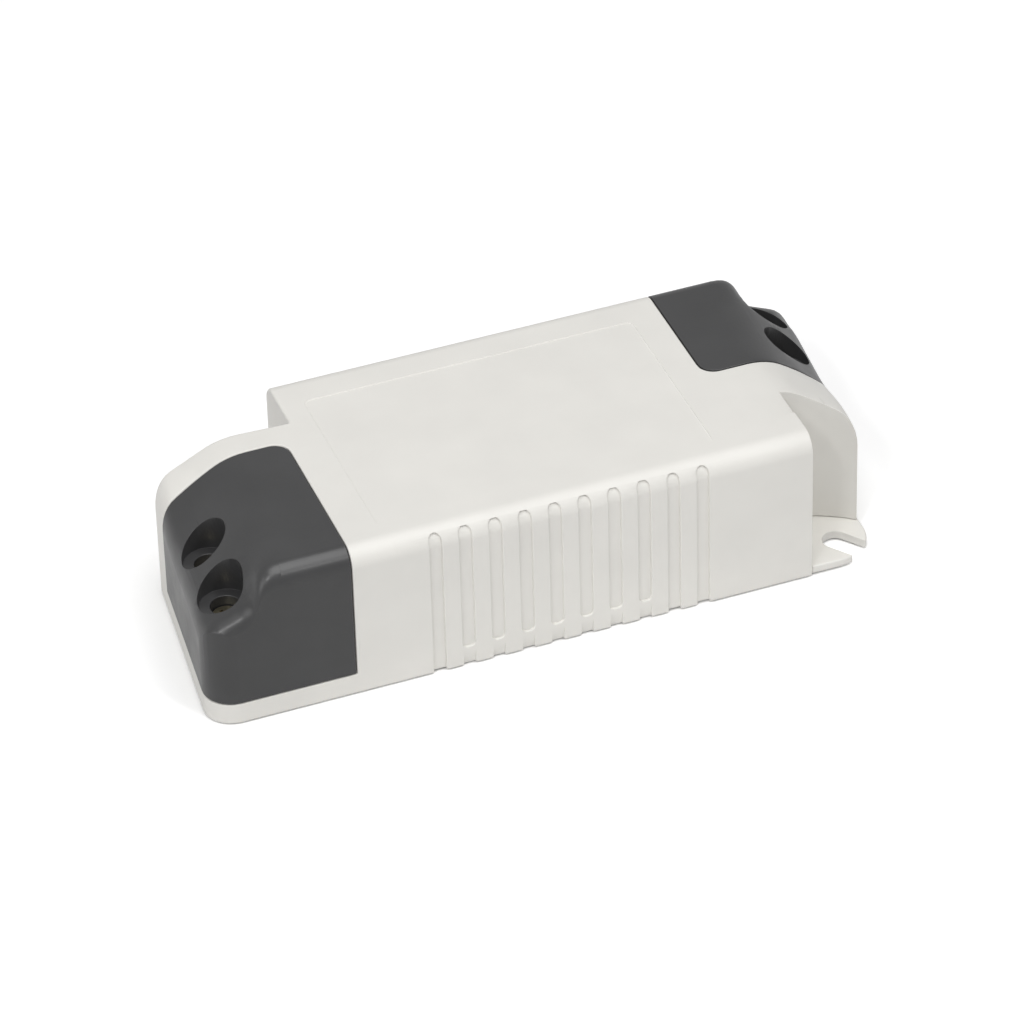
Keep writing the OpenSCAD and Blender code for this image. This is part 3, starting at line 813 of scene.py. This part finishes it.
@dataclass(frozen=True)
class Softbox:
    """A square white area light, aimed at the object.

    Attributes:
        name: Name of the light.
        azimuth: Angle round the object, in degrees, 0 in front of it.
        elevation: Angle above the horizon, in degrees.
        distance: Distance from the object, in metres.
        size: Side of the light, in metres.
        power: Power in watts.
    """

    name: str
    azimuth: float
    elevation: float
    distance: float
    size: float
    power: float

    def build(self) -> None:
        """Makes the light and aims it."""
        way = direction(self.azimuth, self.elevation)
        data = bpy.data.lights.new(self.name, "AREA")
        data.shape = "SQUARE"
        data.size = self.size
        data.energy = self.power
        light = bpy.data.objects.new(self.name, data)
        light.location = way * self.distance
        light.rotation_euler = way.to_track_quat("Z", "Y").to_euler()
        bpy.context.collection.objects.link(light)
        log.info("light %s", self.name)


@dataclass(frozen=True)
class Studio:
    """Pale floor, white surroundings and soft light.

    Attributes:
        world_strength: Light that the surroundings shed on the object.
        mirrored_white: How far their mirror image goes from that light to full white.
        floor_white: Colour of the floor as the object sees it.
        floor_seen_white: Colour of the floor as the camera sees it.
        floor_size: Side of the floor, in metres.
        floor_gap: How far the floor lies under the object, in metres, which leaves a
            thin dark line of contact.
        lights: The lights.
    """

    world_strength: float = 0.15
    mirrored_white: float = 0.6
    floor_white: float = 0.90
    floor_seen_white: float = 1.22
    floor_size: float = 6.0
    floor_gap: float = 0.35 * MM
    lights: tuple[Softbox, ...] = (
        Softbox("overhead_softbox", 10, 78, 1.1, 0.9, 8.3),
        Softbox("front_softbox", 26, 43, 1.2, 0.14, 1.55),
        Softbox("near_left_softbox", -42, 46, 1.2, 0.14, 1.8),
        Softbox("left_softbox", -75, 25, 1.2, 0.7, 2.7),
    )

    def build(self) -> None:
        """Makes the floor, the world and the lights."""
        self.make_floor()
        self.make_world()
        for light in self.lights:
            light.build()
        bpy.context.scene.view_settings.view_transform = "Standard"

    def make_floor(self) -> None:
        """Makes a white floor that still takes the object's soft shadow."""
        half = self.floor_size / 2
        corners = [(x * half, y * half, -self.floor_gap)
                   for x, y in ((-1, -1), (1, -1), (1, 1), (-1, 1))]
        data = bpy.data.meshes.new("floor")
        data.from_pydata(corners, [], [(0, 1, 2, 3)])
        floor = bpy.data.objects.new("floor", data)
        bpy.context.collection.objects.link(floor)
        material = bpy.data.materials.new("floor_white")
        material.use_nodes = True
        tree = material.node_tree
        tree.nodes.clear()
        path = add_node(tree, "ShaderNodeLightPath")
        white = add_node(
            tree, "ShaderNodeMapRange", Value=path.outputs["Is Camera Ray"],
            To_Min=self.floor_white, To_Max=self.floor_seen_white)
        diffuse = add_node(tree, "ShaderNodeBsdfDiffuse", Color=white.outputs["Result"])
        add_node(tree, "ShaderNodeOutputMaterial", Surface=diffuse.outputs["BSDF"])
        data.materials.append(material)

    def make_world(self) -> None:
        """Makes white surroundings, brighter to the camera than to the object."""
        world = bpy.data.worlds.new("surroundings")
        bpy.context.scene.world = world
        world.use_nodes = True
        tree = world.node_tree
        back = tree.nodes["Background"]
        feed(tree, back.inputs["Color"], (1.0, 1.0, 1.0, 1.0))
        path = add_node(tree, "ShaderNodeLightPath")
        mirrored = add_math(tree, "MULTIPLY", path.outputs["Is Glossy Ray"], self.mirrored_white)
        seen = add_math(tree, "MAXIMUM", path.outputs["Is Camera Ray"], mirrored)
        level = add_node(
            tree, "ShaderNodeMapRange", Value=seen, To_Min=self.world_strength, To_Max=1.0)
        feed(tree, back.inputs["Strength"], level.outputs["Result"])


def main() -> None:
    """Builds the whole scene."""
    logging.basicConfig(level=logging.INFO, format="%(name)s: %(message)s")
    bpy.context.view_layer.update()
    PhotoCamera().build()
    Converter(MaterialLibrary()).build()
    Studio().build()
    bpy.context.view_layer.update()


if __name__ == "__main__":
    main()
